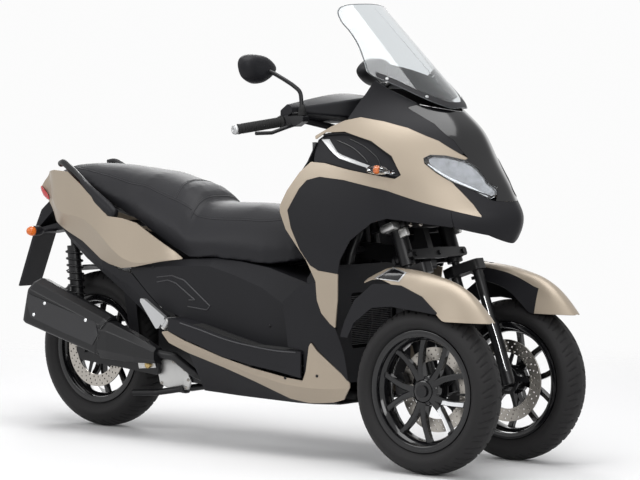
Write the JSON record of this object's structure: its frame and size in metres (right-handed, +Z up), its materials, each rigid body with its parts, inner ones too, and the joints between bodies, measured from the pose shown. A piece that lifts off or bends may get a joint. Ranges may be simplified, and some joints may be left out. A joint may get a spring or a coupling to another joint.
{
  "type": "motorized trike",
  "caption": "Leaning three-wheeled motor scooter with two steered front wheels, upright on its wheels with stands folded.",
  "frame": {"origin": "on the ground at the centre of the overall box, on the middle plane", "axes": "+X forward, +Y to the rider's left, +Z up"},
  "size_m": [2.2493, 0.8106, 1.478],
  "materials": {
    "beige_paint": "satin",
    "black_plastic": "matte",
    "gloss_black": "gloss",
    "black_metal": "satin",
    "bare_aluminium": "satin",
    "rubber_grip": "matte",
    "tyre_rubber": "matte",
    "disc_steel": "brushed",
    "seat_cover": "satin",
    "clear_lens": "gloss",
    "red_lens": "gloss",
    "lamp_reflector": "polished",
    "mirror_glass": "polished"
  },
  "bodies": {
    "chassis": {"beak": "black_plastic", "belly_pan": "black_plastic", "engine": "bare_aluminium", "footboards": "black_plastic", "frame": "black_metal", "front_stay": "black_metal", "grab_rails": "black_metal", "headlamp_lenses": "clear_lens", "indicators": "clear_lens", "inner_shield": "black_plastic", "lean_links": "black_metal", "lower_shields": "black_plastic", "meter": "black_plastic", "muffler": "black_metal", "nose_panel": "gloss_black", "peg_brackets": "bare_aluminium", "plate_holder": "black_plastic", "rear_hugger": "black_plastic", "rear_shocks": "black_metal", "side_cowls": "black_plastic", "side_panels": "beige_paint", "side_tubes": "black_metal", "skirts": "beige_paint", "storage_bin": "black_plastic", "swing_arm": "black_metal", "tail_lamp": "red_lens", "tail_panels": "beige_paint", "tunnel": "black_plastic", "undertail": "black_plastic", "upper_cowl": "black_plastic", "vent_insets": "black_plastic", "wheel_wall": "black_plastic", "windscreen": "clear_lens"},
    "handlebar_body": {"handlebar": "black_metal", "grips": "rubber_grip", "bar_cover": "black_plastic", "mirrors": "black_plastic", "mirror_glasses": "mirror_glass"},
    "link": {"steering_link": "black_metal"},
    "seat": {"seat_cushion": "seat_cover", "seat_pan": "black_plastic"},
    "main_stand": {"centre_stand": "black_metal"},
    "prop_stand": {"side_stand": "black_metal"},
    "rear_wheel": {"tyre_rear": "tyre_rubber", "rim_rear": "gloss_black", "disc_rear": "disc_steel"},
    "fork_left": {"fork_left": "black_metal", "fender_left": "beige_paint", "fender_skirt_left": "black_plastic"},
    "wheel_left": {"tyre_front_left": "tyre_rubber", "rim_front_left": "gloss_black", "disc_front_left": "disc_steel"},
    "footpeg_left": {"peg_left": "bare_aluminium"},
    "fork_right": {"fork_right": "black_metal", "fender_right": "beige_paint", "fender_skirt_right": "black_plastic"},
    "wheel_right": {"tyre_front_right": "tyre_rubber", "rim_front_right": "gloss_black", "disc_front_right": "disc_steel"},
    "footpeg_right": {"peg_right": "bare_aluminium"}
  },
  "joints": [
    {"name": "steer", "type": "hinge", "parent": "chassis", "child": "handlebar_body", "pos_m": [0.35, 0, 1.07], "axis": [-0.342, 0, 0.9397], "range_deg": [-33, 33]},
    {"name": "link_swing", "type": "hinge", "parent": "handlebar_body", "child": "link", "pos_m": [0.52722, 0, 0.75852], "axis": [-0.342, 0, 0.9397], "range_deg": [-33, 33]},
    {"name": "rear_roll", "type": "hinge", "parent": "chassis", "child": "rear_wheel", "pos_m": [-0.732, 0, 0.276], "axis": [0, 1, 0], "continuous": true},
    {"name": "seat_lift", "type": "hinge", "parent": "chassis", "child": "seat", "pos_m": [0.3, 0, 0.627], "axis": [0, 1, 0], "range_deg": [0, 35]},
    {"name": "main_stand_swing", "type": "hinge", "parent": "chassis", "child": "main_stand", "pos_m": [-0.3, 0, 0.168], "axis": [0, -1, 0], "range_deg": [0, 95]},
    {"name": "prop_stand_swing", "type": "hinge", "parent": "chassis", "child": "prop_stand", "pos_m": [-0.205, 0.136, 0.162], "axis": [0, -1, 0], "range_deg": [0, 100]},
    {"name": "kingpin_left", "type": "hinge", "parent": "chassis", "child": "fork_left", "pos_m": [0.67622, 0.128, 0.7], "axis": [-0.342, 0, 0.9397], "range_deg": [-33, 33]},
    {"name": "roll_left", "type": "hinge", "parent": "fork_left", "child": "wheel_left", "pos_m": [0.863, 0.235, 0.262], "axis": [0, 1, 0], "continuous": true},
    {"name": "peg_fold_left", "type": "hinge", "parent": "chassis", "child": "footpeg_left", "pos_m": [-0.236, 0.236, 0.405], "axis": [-0.5861, 0, -0.8102], "range_deg": [0, 88]},
    {"name": "kingpin_right", "type": "hinge", "parent": "chassis", "child": "fork_right", "pos_m": [0.67622, -0.128, 0.7], "axis": [-0.342, 0, 0.9397], "range_deg": [-33, 33]},
    {"name": "roll_right", "type": "hinge", "parent": "fork_right", "child": "wheel_right", "pos_m": [0.863, -0.235, 0.262], "axis": [0, 1, 0], "continuous": true},
    {"name": "peg_fold_right", "type": "hinge", "parent": "chassis", "child": "footpeg_right", "pos_m": [-0.236, -0.236, 0.405], "axis": [0.5861, 0, 0.8102], "range_deg": [0, 88]}
  ],
  "couplings": [
    {"joint": "kingpin_left", "follows": "steer", "ratio": 1},
    {"joint": "kingpin_right", "follows": "steer", "ratio": 1},
    {"joint": "link_swing", "follows": "steer", "ratio": -1}
  ]
}
